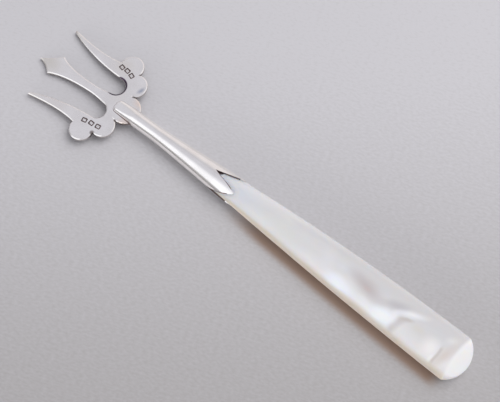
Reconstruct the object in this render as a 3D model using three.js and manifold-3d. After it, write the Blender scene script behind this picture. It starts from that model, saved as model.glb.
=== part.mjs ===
// Pickle fork: a flat trident head held in a two-part tapered ferrule, with a mother-of-pearl handle.
// Millimetres, +Z up, +X towards the tines, standing on Z = 0 with the origin under the middle of its box.
import * as THREE from 'three';
import { mergeVertices } from 'three/addons/utils/BufferGeometryUtils.js';
import Module from 'manifold-3d';

// Handle: a slip of shell, widest near its rounded rear end
const HANDLE_LENGTH = 86; // rear end to the points of the ferrule
const HANDLE_WIDTH = 14.9;
const HANDLE_THICKNESS = 6.6;
const HANDLE_FACE_WIDTH = 6.4; // width of the flats on top and underneath, between the rounded sides
const HANDLE_END_BULGE = 4.8; // how far the rear end bows out in an arc, seen from above
const HANDLE_END_FLAT = 1.6; // width of the straight middle of the rear end
const HANDLE_END_BEVEL = 2.4; // length over which the rear end thins
const HANDLE_END_THICKNESS = 3.8;
const HANDLE_FACET_LENGTH = 5; // sloping cut across the top of the rear end
const HANDLE_FACET_DROP = 2.7;
const HANDLE_FLAT_LENGTH = 46; // length from the rear end that keeps its full thickness
const TENON_PAST_CROWN = 2.6; // length of the handle inside the ferrule, in front of the notches

// Ferrule: two pressed halves, narrow in front and oval behind, with a four-pointed rear edge
const FERRULE_LENGTH = 40.6; // rear points to the mouth
const FERRULE_REAR_WIDTH = 9.7;
const FERRULE_REAR_HEIGHT = 6.6;
const FERRULE_WAIST_WIDTH = 5;
const FERRULE_WAIST_HEIGHT = 4.7;
const FERRULE_WAIST_FROM_MOUTH = 8;
const FERRULE_MOUTH_WIDTH = 4.8;
const FERRULE_MOUTH_HEIGHT = 4.7;
const FERRULE_WALL = 0.45;
const FERRULE_FRONT_WALL = 1.2;
const CROWN_DEPTH = 9; // depth of the four V notches
const CROWN_POINT_ANGLE = 46; // degrees from the side of the section to each point
const CROWN_POINT_FLAT = 0.3; // width left at the end of a point
const TONGUE_LENGTH = 8; // length of the tongues over and under the heel
const TONGUE_NOSE_WIDTH = 4.4;
const TONGUE_NOSE_HEIGHT = 3.6; // over both tongues and the sheet between them
const TONGUE_NOSE_ROUND = 1.2;

// Head: sheet silver, with distances along the head measured forward from the ferrule's mouth
const HEAD_LENGTH = 39; // mouth to the point of the centre tine
const HEAD_THICKNESS = 1.3;
const TAB_WIDTH = 2.2; // the stub of the head inside the ferrule
const TAB_LENGTH = 6;
const HEEL_RADIUS = 4.9;
const HEEL_AT = 4.4;
const REAR_LOBE_RADIUS = 4;
const REAR_LOBE_ANGLE = 72; // degrees, from the heel's centre to the rear lobe's
const HEEL_OVERLAP = 0.17; // how far the rear lobe's circle runs into the heel's
const FRONT_LOBE_RADIUS = 3.9;
const FRONT_LOBE_ANGLE = 44.4; // degrees, from the rear lobe's centre to the front lobe's
const LOBE_OVERLAP = 1.04;
const BARB_INSET = 0.5; // how far inside the front lobe's centre the side tine starts
const TINE_TIP_OUT = 13.2; // sideways from the centre line
const TINE_TIP_BACK = 4.3; // how far the side tines stop short of the centre one
const TINE_TIP_WIDTH = 0.5;
const TINE_OUTER_BOW = 1.5; // inward pull of the side tine's outer edge
const TINE_INNER_BOW = 2; // inward pull of the side tine's inner edge
const GAP_RADIUS = 2.95; // round end of the gap between two tines
const GAP_AT = 11.9;
const CENTRE_ROOT_WIDTH = 4.1; // centre tine between the round ends of the gaps
const CENTRE_WAIST_WIDTH = 2.7;
const CENTRE_WAIST_PAST_GAP = 6.1;
const SPEAR_WIDTH = 7.6;
const SPEAR_POINT_LENGTH = 5.9; // shoulders of the spear to its point
const SPEAR_FLARE_LENGTH = 4.6;
const SPEAR_HOLLOW = 0.42; // how far the end edges of the spear curve in

// Tang and cement
const TANG_LENGTH = 63;
const TANG_FRONT_DIAMETER = 1.9;
const TANG_TIP_DIAMETER = 1.1;
const CEMENT_LEAST = 0.15; // cement round the thick end of the tang if it stood in the bore
const BORE_END_ROOM = 2.6; // bore left beyond the tip of the tang

// Clearances
const FIT = 0.2; // between a piece and what it sits in
const SEAM = 0.2; // between the two halves of the ferrule

// Shape factors and mesh steps
const HANDLE_TAPER_POWER = 1.8;
const FERRULE_FLARE_POWER = 1.25;
const HANDLE_SQUARENESS = 2.5; // exponent of the handle's section, where 2 is an ellipse
const ROUND_SECTION = 2;
const SECTION_CREST = 0.12; // half width of the crest line along the top of a round section
const GAP_EXIT_ANGLE = 10; // degrees, at which the centre tine's edge leaves the gap's round end
const TINE_ROOT_ANGLE = 5; // degrees, at which the side tine's inner edge leaves it
const OUTER_BOW_PLACE = 0.33;
const INNER_BOW_PLACE = 0.52;
const NOSE_END_SCALE = 0.75;
const QUARTER_STEPS = 6;
const SECTION_SIDES = 4 * QUARTER_STEPS + 2;
const ROUND_SIDES = 24;
const CURVE_STEPS = 8;
const LONG_STEPS = 12; // stations along a long stretch of a swept solid
const SHORT_STEPS = 4;
const OVERSHOOT = 1; // how far a cutting solid runs past what it cuts

const mix = THREE.MathUtils.lerp;
const radians = THREE.MathUtils.degToRad;

// Places that follow from the sizes
const axisZ = Math.max(HANDLE_THICKNESS, FERRULE_REAR_HEIGHT) / 2;
const pointsX = HANDLE_LENGTH;
const mouthX = pointsX + FERRULE_LENGTH;
const waistX = mouthX - FERRULE_WAIST_FROM_MOUTH;
const crownX = pointsX + CROWN_DEPTH;
const tenonX = crownX + TENON_PAST_CROWN;
const cavityX = mouthX - FERRULE_FRONT_WALL;
const halfSheet = HEAD_THICKNESS / 2;
const headReach = Math.hypot(HEAD_LENGTH, halfSheet);
// The head leans down so that the underside of the spear's point touches Z = 0
const headDroop = Math.asin(axisZ / headReach) - Math.atan2(halfSheet, HEAD_LENGTH);
const totalLength = mouthX + HEAD_LENGTH * Math.cos(headDroop) + halfSheet * Math.sin(headDroop);
const tangX = mouthX - TAB_LENGTH * Math.cos(headDroop) - FIT - halfSheet * Math.sin(headDroop);
const tangTipX = tangX - TANG_LENGTH;
const boreX = tangTipX - BORE_END_ROOM;
const boreRadius = TANG_FRONT_DIAMETER / 2 + CEMENT_LEAST + 2 * FIT;
const endRadius = ((HANDLE_WIDTH / 2) ** 2 + HANDLE_END_BULGE ** 2) / (2 * HANDLE_END_BULGE);

const wasm = await Module();
wasm.setup();

function solidOf(geometry) {
  const bare = geometry.clone();
  bare.deleteAttribute('normal');
  bare.deleteAttribute('uv');
  const merged = mergeVertices(bare);
  return new wasm.Manifold(new wasm.Mesh({
    numProp: 3,
    vertProperties: new Float32Array(merged.getAttribute('position').array),
    triVerts: new Uint32Array(merged.index.array),
  }));
}

function geometryOf(solid) {
  const { vertProperties, triVerts } = solid.getMesh();
  const geometry = new THREE.BufferGeometry();
  geometry.setAttribute('position', new THREE.BufferAttribute(vertProperties, 3));
  geometry.setIndex(new THREE.BufferAttribute(triVerts, 1));
  geometry.computeVertexNormals();
  return geometry;
}

// One point of a section: two rounded sides joined by a flat above and below
function sectionPoint(step, { halfWidth, halfHeight, edge, power }) {
  const sideSteps = 2 * QUARTER_STEPS + 1;
  const shifted = (step + QUARTER_STEPS + SECTION_SIDES) % SECTION_SIDES;
  const right = shifted < sideSteps;
  const quarter = (right ? shifted : shifted - sideSteps) / QUARTER_STEPS - 1;
  const angle = quarter * Math.PI / 2;
  const out = halfWidth - edge + edge * Math.cos(angle) ** (2 / power);
  const up = halfHeight * Math.sign(quarter) * Math.abs(Math.sin(angle)) ** (2 / power);
  return right ? [out, up] : [-out, -up];
}

// A solid swept along X through a row of stations, from the rear one to the front one
function sweep(stations) {
  const rows = stations.length - 1;
  const geometry = new THREE.CylinderGeometry(1, 1, 1, SECTION_SIDES, rows);
  const position = geometry.getAttribute('position');
  for (let i = 0; i < position.count; i += 1) {
    const station = stations[Math.round((position.getY(i) + 0.5) * rows)];
    const onAxis = Math.hypot(position.getX(i), position.getZ(i)) < 0.5;
    const turn = Math.atan2(position.getX(i), position.getZ(i)) / (2 * Math.PI);
    const [y, z] = onAxis ? [0, 0] : sectionPoint(Math.round(turn * SECTION_SIDES), station);
    position.setXYZ(i, station.x, y, station.z + z);
  }
  return solidOf(geometry);
}

function spread(from, to, steps) {
  return Array.from({ length: steps + 1 }, (_, i) => from + (to - from) * i / steps);
}

// A round bar along X
function bar(fromX, toX, fromRadius, toRadius, z) {
  const geometry = new THREE.CylinderGeometry(toRadius, fromRadius, toX - fromX, ROUND_SIDES);
  geometry.rotateZ(-Math.PI / 2);
  geometry.translate((fromX + toX) / 2, 0, z);
  return solidOf(geometry);
}

// A box given in the head's own leaning frame, placed in the fork's frame
function headBox(fromAt, toAt, halfWidth, halfHeight) {
  const geometry = new THREE.BoxGeometry(toAt - fromAt, 2 * halfWidth, 2 * halfHeight);
  geometry.translate((fromAt + toAt) / 2, 0, 0);
  geometry.rotateY(headDroop);
  geometry.translate(mouthX, 0, axisZ);
  return solidOf(geometry);
}

// Where two circles cross, on the left of the line from the first centre to the second
function circlesCross(first, firstRadius, second, secondRadius) {
  const between = second.clone().sub(first);
  const distance = between.length();
  const along = (distance ** 2 + firstRadius ** 2 - secondRadius ** 2) / (2 * distance);
  const across = Math.sqrt(firstRadius ** 2 - along ** 2);
  const unit = between.divideScalar(distance);
  return new THREE.Vector2(
    first.x + unit.x * along - unit.y * across,
    first.y + unit.y * along + unit.x * across,
  );
}

function stepFrom(centre, distance, degrees) {
  const angle = radians(degrees);
  return new THREE.Vector2(centre.x + distance * Math.cos(angle), centre.y + distance * Math.sin(angle));
}

// Left half of the head's outline, from the stub in the ferrule to the point of the spear
function headHalfOutline() {
  const heel = new THREE.Vector2(HEEL_AT, 0);
  const rear = stepFrom(heel, HEEL_RADIUS + REAR_LOBE_RADIUS - HEEL_OVERLAP, REAR_LOBE_ANGLE);
  const front = stepFrom(rear, REAR_LOBE_RADIUS + FRONT_LOBE_RADIUS - LOBE_OVERLAP, FRONT_LOBE_ANGLE);
  const heelNotch = circlesCross(heel, HEEL_RADIUS, rear, REAR_LOBE_RADIUS);
  const lobeNotch = circlesCross(rear, REAR_LOBE_RADIUS, front, FRONT_LOBE_RADIUS);
  const angleFrom = (centre, point) => Math.atan2(point.y - centre.y, point.x - centre.x);
  const barbAngle = -Math.asin(BARB_INSET / FRONT_LOBE_RADIUS);
  const barbAt = front.x + FRONT_LOBE_RADIUS * Math.cos(barbAngle);
  const barbOut = front.y - BARB_INSET;
  const tipAt = HEAD_LENGTH - TINE_TIP_BACK;
  const tipInner = TINE_TIP_OUT - TINE_TIP_WIDTH;
  const gap = new THREE.Vector2(GAP_AT, CENTRE_ROOT_WIDTH / 2 + GAP_RADIUS);
  const rootDegrees = 90 + TINE_ROOT_ANGLE;
  const root = stepFrom(gap, GAP_RADIUS, rootDegrees);
  const exitDegrees = 270 - GAP_EXIT_ANGLE;
  const exit = stepFrom(gap, GAP_RADIUS, exitDegrees);
  const halfWaist = CENTRE_WAIST_WIDTH / 2;
  const halfSpear = SPEAR_WIDTH / 2;
  const shoulderAt = HEAD_LENGTH - SPEAR_POINT_LENGTH;
  const hollow = 2 * SPEAR_HOLLOW / Math.hypot(SPEAR_POINT_LENGTH, halfSpear);

  const path = new THREE.Path();
  path.moveTo(-TAB_LENGTH, TAB_WIDTH / 2);
  const heelStart = Math.PI - Math.asin(TAB_WIDTH / 2 / HEEL_RADIUS);
  path.lineTo(HEEL_AT + HEEL_RADIUS * Math.cos(heelStart), TAB_WIDTH / 2);
  path.absarc(HEEL_AT, 0, HEEL_RADIUS, heelStart, angleFrom(heel, heelNotch), true);
  path.absarc(
    rear.x, rear.y, REAR_LOBE_RADIUS,
    angleFrom(rear, heelNotch), angleFrom(rear, lobeNotch), true,
  );
  path.absarc(
    front.x, front.y, FRONT_LOBE_RADIUS,
    angleFrom(front, lobeNotch), barbAngle, true,
  );
  path.quadraticCurveTo(
    mix(barbAt, tipAt, OUTER_BOW_PLACE),
    mix(barbOut, TINE_TIP_OUT, OUTER_BOW_PLACE) - TINE_OUTER_BOW,
    tipAt,
    TINE_TIP_OUT,
  );
  path.lineTo(tipAt, tipInner);
  path.quadraticCurveTo(
    mix(root.x, tipAt, INNER_BOW_PLACE),
    mix(root.y, tipInner, INNER_BOW_PLACE) - TINE_INNER_BOW,
    root.x,
    root.y,
  );
  path.absarc(gap.x, gap.y, GAP_RADIUS, radians(rootDegrees), radians(exitDegrees), false);
  path.quadraticCurveTo(
    exit.x + (exit.y - halfWaist) / Math.tan(radians(GAP_EXIT_ANGLE)),
    halfWaist,
    GAP_AT + CENTRE_WAIST_PAST_GAP,
    halfWaist,
  );
  path.quadraticCurveTo(shoulderAt - SPEAR_FLARE_LENGTH, halfWaist, shoulderAt, halfSpear);
  path.quadraticCurveTo(
    shoulderAt + SPEAR_POINT_LENGTH / 2 - hollow * halfSpear,
    halfSpear / 2 - hollow * SPEAR_POINT_LENGTH,
    HEAD_LENGTH,
    0,
  );
  return path.getPoints(CURVE_STEPS);
}

function makeHead() {
  const left = headHalfOutline();
  const right = left.slice(0, -1).reverse().map((point) => new THREE.Vector2(point.x, -point.y));
  const geometry = new THREE.ExtrudeGeometry(new THREE.Shape([...left, ...right]), {
    depth: HEAD_THICKNESS,
    bevelEnabled: false,
  });
  geometry.translate(0, 0, -halfSheet);
  return geometry;
}

// Half width and half height of the ferrule's outside at a place behind the mouth
function ferruleHalf(x) {
  const behind = x < waistX;
  const away = behind ? (waistX - x) / (waistX - pointsX) : (x - waistX) / (mouthX - waistX);
  const t = away ** FERRULE_FLARE_POWER;
  const endWidth = behind ? FERRULE_REAR_WIDTH : FERRULE_MOUTH_WIDTH;
  const endHeight = behind ? FERRULE_REAR_HEIGHT : FERRULE_MOUTH_HEIGHT;
  return {
    halfWidth: (FERRULE_WAIST_WIDTH + (endWidth - FERRULE_WAIST_WIDTH) * t) / 2,
    halfHeight: (FERRULE_WAIST_HEIGHT + (endHeight - FERRULE_WAIST_HEIGHT) * t) / 2,
  };
}

// A station of a round section inside or on the ferrule, inset from its outside
function ferruleStation(x, inset) {
  const half = ferruleHalf(x);
  const halfWidth = half.halfWidth - inset;
  return {
    x,
    z: axisZ,
    halfWidth,
    halfHeight: half.halfHeight - inset,
    edge: halfWidth - SECTION_CREST,
    power: ROUND_SECTION,
  };
}

// The two tongues before they are parted, leaning with the head
function tongueStation(at) {
  const t = at / TONGUE_LENGTH;
  const past = Math.max(0, at - (TONGUE_LENGTH - TONGUE_NOSE_ROUND)) / TONGUE_NOSE_ROUND;
  const nose = 1 - (1 - NOSE_END_SCALE) * past ** 2;
  const halfWidth = mix(FERRULE_MOUTH_WIDTH, TONGUE_NOSE_WIDTH, t) / 2 * nose;
  return {
    x: mouthX + at,
    z: axisZ - at * Math.tan(headDroop),
    halfWidth,
    halfHeight: mix(FERRULE_MOUTH_HEIGHT, TONGUE_NOSE_HEIGHT, t) / 2 * nose,
    edge: halfWidth - SECTION_CREST,
    power: ROUND_SECTION,
  };
}

// A V notch across the rear of the ferrule, cut straight through along Y or along Z
function crownNotch(halfOpening, throughZ) {
  const reach = FERRULE_REAR_WIDTH + FERRULE_REAR_HEIGHT;
  const grown = (CROWN_DEPTH + OVERSHOOT) / CROWN_DEPTH;
  const shape = new THREE.Shape([
    new THREE.Vector2(0, 0),
    new THREE.Vector2(-CROWN_DEPTH * grown, halfOpening * grown),
    new THREE.Vector2(-CROWN_DEPTH * grown, -halfOpening * grown),
  ]);
  const geometry = new THREE.ExtrudeGeometry(shape, { depth: reach, bevelEnabled: false });
  geometry.translate(0, 0, -reach / 2);
  if (!throughZ) geometry.rotateX(Math.PI / 2);
  geometry.translate(crownX, 0, axisZ);
  return solidOf(geometry);
}

// Everything above the seam, which runs level along the ferrule and then leans with the head
function aboveSeam() {
  const tongueX = mouthX + TONGUE_LENGTH + OVERSHOOT;
  const top = axisZ + FERRULE_REAR_HEIGHT;
  const width = 2 * FERRULE_REAR_WIDTH;
  const shape = new THREE.Shape([
    new THREE.Vector2(pointsX - OVERSHOOT, axisZ),
    new THREE.Vector2(mouthX, axisZ),
    new THREE.Vector2(tongueX, axisZ - (tongueX - mouthX) * Math.tan(headDroop)),
    new THREE.Vector2(tongueX, top),
    new THREE.Vector2(pointsX - OVERSHOOT, top),
  ]);
  const geometry = new THREE.ExtrudeGeometry(shape, { depth: width, bevelEnabled: false });
  geometry.rotateX(Math.PI / 2);
  geometry.translate(0, width / 2, 0);
  return geometry;
}

function makeFerrule() {
  const barrel = [...spread(pointsX, waistX, LONG_STEPS), ...spread(waistX, mouthX, SHORT_STEPS).slice(1)];
  const noseStart = TONGUE_LENGTH - TONGUE_NOSE_ROUND;
  const tongue = [
    ...spread(0, noseStart, SHORT_STEPS).slice(1),
    ...spread(noseStart, TONGUE_LENGTH, SHORT_STEPS).slice(1),
  ];
  const outside = sweep([...barrel.map((x) => ferruleStation(x, 0)), ...tongue.map(tongueStation)]);
  const hollow = [
    pointsX - OVERSHOOT,
    ...spread(pointsX, waistX, LONG_STEPS),
    ...spread(waistX, cavityX, SHORT_STEPS).slice(1),
  ];
  const cavity = sweep(hollow.map((x) => ferruleStation(x, FERRULE_WALL)));
  const pointTurn = radians(CROWN_POINT_ANGLE);
  const pointOut = FERRULE_REAR_WIDTH / 2 * Math.cos(pointTurn) - CROWN_POINT_FLAT / 2;
  const pointUp = FERRULE_REAR_HEIGHT / 2 * Math.sin(pointTurn) - CROWN_POINT_FLAT / 2;
  const slotHalf = halfSheet + FIT;
  const slotFrom = HEEL_AT - HEEL_RADIUS - FIT;
  const slot = headBox(slotFrom, TONGUE_LENGTH + OVERSHOOT, FERRULE_REAR_WIDTH, slotHalf);
  const tabSlot = headBox(-TAB_LENGTH - FIT, OVERSHOOT, TAB_WIDTH / 2 + FIT, slotHalf);
  const shell = outside
    .subtract(cavity)
    .subtract(crownNotch(pointOut, true))
    .subtract(crownNotch(pointUp, false))
    .subtract(slot)
    .subtract(tabSlot);
  const upperSide = aboveSeam();
  const raised = solidOf(upperSide.clone().translate(0, 0, SEAM / 2));
  const lowered = solidOf(upperSide.clone().translate(0, 0, -SEAM / 2));
  return { upper: geometryOf(shell.intersect(raised)), lower: geometryOf(shell.subtract(lowered)) };
}

function makeTang() {
  const solid = bar(tangTipX, tangX, TANG_TIP_DIAMETER / 2, TANG_FRONT_DIAMETER / 2, axisZ);
  return geometryOf(solid);
}

// Cement that fills the ferrule round the tang and follows it down the bore of the handle
function makeCement() {
  const inset = FERRULE_WALL + FIT;
  const plugFrom = tenonX + FIT;
  const plug = sweep(spread(plugFrom, tangX, LONG_STEPS).map((x) => ferruleStation(x, inset)));
  const sleeveRadius = boreRadius - FIT;
  const sleeve = bar(boreX + FIT, plugFrom + OVERSHOOT, sleeveRadius, sleeveRadius, axisZ);
  const tipRadius = TANG_TIP_DIAMETER / 2 + FIT;
  const frontRadius = TANG_FRONT_DIAMETER / 2 + FIT;
  const tangRoom = bar(tangTipX - FIT, tangX + FIT, tipRadius, frontRadius, axisZ);
  return geometryOf(plug.add(sleeve).subtract(tangRoom));
}

// A station of the handle behind the ferrule, from the rear end to the ferrule's points
function handleStation(x) {
  const front = ferruleStation(pointsX, FERRULE_WALL + FIT);
  const taper = Math.max(0, x - HANDLE_END_BULGE) / (pointsX - HANDLE_END_BULGE);
  const thinning = Math.max(0, x - HANDLE_FLAT_LENGTH) / (pointsX - HANDLE_FLAT_LENGTH);
  const fullWidth = mix(HANDLE_WIDTH / 2, front.halfWidth, taper ** HANDLE_TAPER_POWER);
  const fullHeight = mix(HANDLE_THICKNESS / 2, front.halfHeight, thinning ** 2);
  const bevelTurn = Math.max(0, 1 - x / HANDLE_END_BEVEL);
  const inArc = x < HANDLE_END_BULGE;
  const halfWidth = inArc ? Math.max(HANDLE_END_FLAT / 2, Math.sqrt(x * (2 * endRadius - x))) : fullWidth;
  const halfFace = Math.min(mix(HANDLE_FACE_WIDTH / 2, SECTION_CREST, thinning), halfWidth - SECTION_CREST);
  return {
    x,
    z: axisZ,
    halfWidth,
    halfHeight: mix(fullHeight, HANDLE_END_THICKNESS / 2, bevelTurn ** 2),
    edge: halfWidth - halfFace,
    power: mix(HANDLE_SQUARENESS, ROUND_SECTION, thinning),
  };
}

// What the sloping cut takes off the top of the rear end
function endFacet() {
  const slope = HANDLE_FACET_DROP / HANDLE_FACET_LENGTH;
  const top = axisZ + HANDLE_THICKNESS / 2;
  const width = HANDLE_WIDTH + 2 * OVERSHOOT;
  const shape = new THREE.Shape([
    new THREE.Vector2(-OVERSHOOT, top - HANDLE_FACET_DROP - slope * OVERSHOOT),
    new THREE.Vector2(HANDLE_FACET_LENGTH + OVERSHOOT, top + slope * OVERSHOOT),
    new THREE.Vector2(-OVERSHOOT, top + slope * OVERSHOOT),
  ]);
  const geometry = new THREE.ExtrudeGeometry(shape, { depth: width, bevelEnabled: false });
  geometry.rotateX(Math.PI / 2);
  geometry.translate(0, width / 2, 0);
  return solidOf(geometry);
}

function makeHandle() {
  const rear = spread(0, 1, CURVE_STEPS).map((t) => HANDLE_END_BULGE * t ** 2);
  const flat = spread(HANDLE_END_BULGE, HANDLE_FLAT_LENGTH, SHORT_STEPS).slice(1);
  const slope = spread(HANDLE_FLAT_LENGTH, pointsX, CURVE_STEPS).slice(1);
  const tenon = spread(pointsX, tenonX, SHORT_STEPS).slice(1);
  const slip = sweep([
    ...[...rear, ...flat, ...slope].map(handleStation),
    ...tenon.map((x) => ferruleStation(x, FERRULE_WALL + FIT)),
  ]);
  const bore = bar(boreX, tenonX + OVERSHOOT, boreRadius, boreRadius, axisZ);
  return geometryOf(slip.subtract(endFacet()).subtract(bore));
}

const silver = new THREE.MeshStandardMaterial({ color: 0xd6d4d2, roughness: 0.25, metalness: 1 });
const steel = new THREE.MeshStandardMaterial({ color: 0x8a8783, roughness: 0.5, metalness: 1 });
const resin = new THREE.MeshStandardMaterial({ color: 0x5a3a26, roughness: 0.8, metalness: 0 });
const pearl = new THREE.MeshStandardMaterial({ color: 0xe9e6e3, roughness: 0.2, metalness: 0 });

const fork = new THREE.Group();
fork.position.x = -totalLength / 2;

function addPiece(name, geometry, material) {
  const mesh = new THREE.Mesh(geometry, material);
  mesh.name = name;
  fork.add(mesh);
  return mesh;
}

const head = addPiece('fork_head', makeHead(), silver);
head.rotation.y = headDroop;
head.position.set(mouthX, 0, axisZ);
const ferrule = makeFerrule();
addPiece('ferrule_upper', ferrule.upper, silver);
addPiece('ferrule_lower', ferrule.lower, silver);
addPiece('tang', makeTang(), steel);
addPiece('cement_fill', makeCement(), resin);
addPiece('handle', makeHandle(), pearl);

export default fork;
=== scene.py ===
import math

import bmesh
import bpy
from mathutils import Matrix, Vector
from mathutils.geometry import interpolate_bezier, intersect_sphere_sphere_2d


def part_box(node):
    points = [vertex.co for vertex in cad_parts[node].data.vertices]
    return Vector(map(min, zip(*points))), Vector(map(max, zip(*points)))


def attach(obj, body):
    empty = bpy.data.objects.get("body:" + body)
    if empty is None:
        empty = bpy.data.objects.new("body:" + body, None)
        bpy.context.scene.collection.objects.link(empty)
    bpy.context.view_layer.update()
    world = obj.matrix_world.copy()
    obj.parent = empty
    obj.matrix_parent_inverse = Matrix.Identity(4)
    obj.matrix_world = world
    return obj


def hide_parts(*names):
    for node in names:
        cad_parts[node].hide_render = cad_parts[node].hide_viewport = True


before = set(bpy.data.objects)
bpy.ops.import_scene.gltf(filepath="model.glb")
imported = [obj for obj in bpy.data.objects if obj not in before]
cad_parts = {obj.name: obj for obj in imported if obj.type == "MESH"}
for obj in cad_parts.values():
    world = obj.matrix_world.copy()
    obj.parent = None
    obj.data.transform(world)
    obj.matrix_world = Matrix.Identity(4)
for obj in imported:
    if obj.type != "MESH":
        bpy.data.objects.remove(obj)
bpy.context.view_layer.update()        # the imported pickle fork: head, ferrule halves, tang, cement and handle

scene = bpy.context.scene
scene.view_settings.view_transform = "Standard"

mm = 0.001               # sizes are written in millimetres
handleLow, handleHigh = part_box("handle")
capLow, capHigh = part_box("ferrule_upper")
axisZ = (handleLow.z + handleHigh.z) / 2
rearX = handleLow.x      # the handle's free end
tenonX = handleHigh.x    # the handle's end inside the ferrule
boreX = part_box("cement_fill")[0].x           # the blind end of the handle's bore
pointsX = capLow.x       # rear points of the ferrule
noseX = capHigh.x        # front of the tongues on the head
print("frame loaded:", ", ".join(sorted(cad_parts)))


def mix(first, second, part):
    return first + (second - first) * part


def share(value, low, high):     # how far value has come from low to high, from 0 to 1
    return min(1, max(0, (value - low) / (high - low)))


def softMin(first, second, reach):           # the lower of two heights, with a rounded crease
    between = share(second - first, -reach, reach)
    return mix(second, first, between) - reach * between * (1 - between)


def signedPower(value, power):
    return math.copysign(abs(value) ** power, value)


def only(kind, items):   # the vertices, or the edges, among what an operator made
    return [item for item in items if isinstance(item, kind)]


def edgesAt(verts):
    return list(dict.fromkeys(edge for vert in verts for edge in vert.link_edges))


class Pen:               # draws an outline as a chain of edges in a bmesh
    arcStep = math.radians(5)
    bendSteps = 18

    def __init__(self, bm, start):
        self.bm = bm
        self.tip = bm.verts.new(start)

    def line(self, end):
        self.tip = bmesh.ops.extrude_vert_indiv(self.bm, verts=[self.tip])["verts"][0]
        self.tip.co = end

    def bend(self, control, end):            # a curve with one control point
        start = self.tip.co.copy()
        path = interpolate_bezier(
            start, start.lerp(control, 2 / 3), end.lerp(control, 2 / 3), end, self.bendSteps)
        for point in path[1:]:
            self.line(point)

    def arc(self, centre, end, clockwise):
        fromArm, toArm = self.tip.co - centre, end - centre
        angle = math.atan2(toArm.y, toArm.x) - math.atan2(fromArm.y, fromArm.x)
        angle = angle % (2 * math.pi) - (2 * math.pi if clockwise else 0)
        made = bmesh.ops.spin(
            self.bm, geom=[self.tip], cent=centre, axis=(0, 0, 1), angle=angle,
            steps=math.ceil(abs(angle) / self.arcStep))
        self.tip = only(bmesh.types.BMVert, made["geom_last"])[0]
        self.tip.co = end


def newObject(name, bm, *materials):
    mesh = bpy.data.meshes.new(name)
    bm.to_mesh(mesh)
    bm.free()
    for material in materials:
        mesh.materials.append(material)
    made = bpy.data.objects.new(name, mesh)
    scene.collection.objects.link(made)
    return made


def newPiece(name, bm, node, slotName, *materials):
    for face in bm.faces:
        face.smooth = True
    piece = newObject(name, bm, *materials)
    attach(piece, "root")
    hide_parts(node)
    print("made", name, "with", len(piece.data.polygons), "faces")
    return piece


class Wire:              # a socket of a shader: sums on it add Math nodes
    def __init__(self, tree, socket=None):
        self.tree = tree
        self.socket = socket

    def node(self, kind, settings=None, sockets=None, output=0):
        made = self.tree.nodes.new("ShaderNode" + kind)
        for name, value in (settings or {}).items():
            setattr(made, name, value)
        for name, value in (sockets or {}).items():
            if isinstance(value, Wire):
                self.tree.links.new(value.socket, made.inputs[name])
            else:
                made.inputs[name].default_value = value
        return Wire(self.tree, made.outputs[output] if made.outputs else None)

    def math(self, operation, first, second=0.0):
        return self.node("Math", {"operation": operation}, {0: first, 1: second})

    def vector(self, operation, other=(0, 0, 0), output=0):
        return self.node("VectorMath", {"operation": operation}, {0: self, 1: other}, output)

    def axes(self):                          # the three coordinates of a place or direction
        return [self.node("SeparateXYZ", {}, {"Vector": self}, axis) for axis in range(3)]

    def __add__(self, other):
        return self.math("ADD", self, other)

    def __radd__(self, other):
        return self.math("ADD", other, self)

    def __sub__(self, other):
        return self.math("SUBTRACT", self, other)

    def __rsub__(self, other):
        return self.math("SUBTRACT", other, self)

    def __mul__(self, other):
        return self.math("MULTIPLY", self, other)

    def __rmul__(self, other):
        return self.math("MULTIPLY", other, self)

    def __truediv__(self, other):
        return self.math("DIVIDE", self, other)

    def __rtruediv__(self, other):
        return self.math("DIVIDE", other, self)

    def __pow__(self, other):
        return self.math("POWER", self, other)

    def rise(self, low, high):               # a smooth step from 0 at low to 1 at high
        return self.node(
            "MapRange", {"interpolation_type": "SMOOTHSTEP"},
            {"Value": self, "From Min": low, "From Max": high})

    def blend(self, first, second):          # from the first colour to the second, by this value
        return self.node("Mix", {"data_type": "RGBA"}, {0: self, 6: first, 7: second}, 2)


def newMaterial(name):
    material = bpy.data.materials.new(name)
    material.use_nodes = True
    material.node_tree.nodes.clear()
    wire = Wire(material.node_tree)
    return material, wire, wire.node("TexCoord", output="Object")


def closeMaterial(wire, sockets):
    surface = wire.node("BsdfPrincipled", {}, sockets)
    wire.node("OutputMaterial", {}, {"Surface": surface})


def noise(wire, place, size, detail=3.0, output=0):     # cloudy values, about size across
    return wire.node(
        "TexNoise", {}, {"Vector": place, "Scale": 1 / size, "Detail": detail}, output)


def drawnOut(wire, place, size, turn=0.0, at=(0, 0, 0)):         # a pattern moved, turned and stretched
    return wire.node(
        "Mapping", {"vector_type": "TEXTURE"},
        {"Vector": place, "Location": at, "Rotation": (0, 0, math.radians(turn)), "Scale": size})


def streaks(wire, place, size, turn=0.0, detail=3.0):            # cloudy values, stretched by size
    return noise(wire, drawnOut(wire, place, size, turn), 1.0, detail)


def softSpot(wire, place, at, size, turn=0.0):         # 1 in the middle of a spot, 0 at its rim
    local = drawnOut(wire, place, size, turn, at)
    ball = wire.node("TexGradient", {"gradient_type": "SPHERICAL"}, {"Vector": local}, 1)
    return ball.rise(0, 1)


def bump(wire, height, distance, strength):
    return wire.node("Bump", {}, {"Height": height, "Distance": distance, "Strength": strength})


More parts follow.
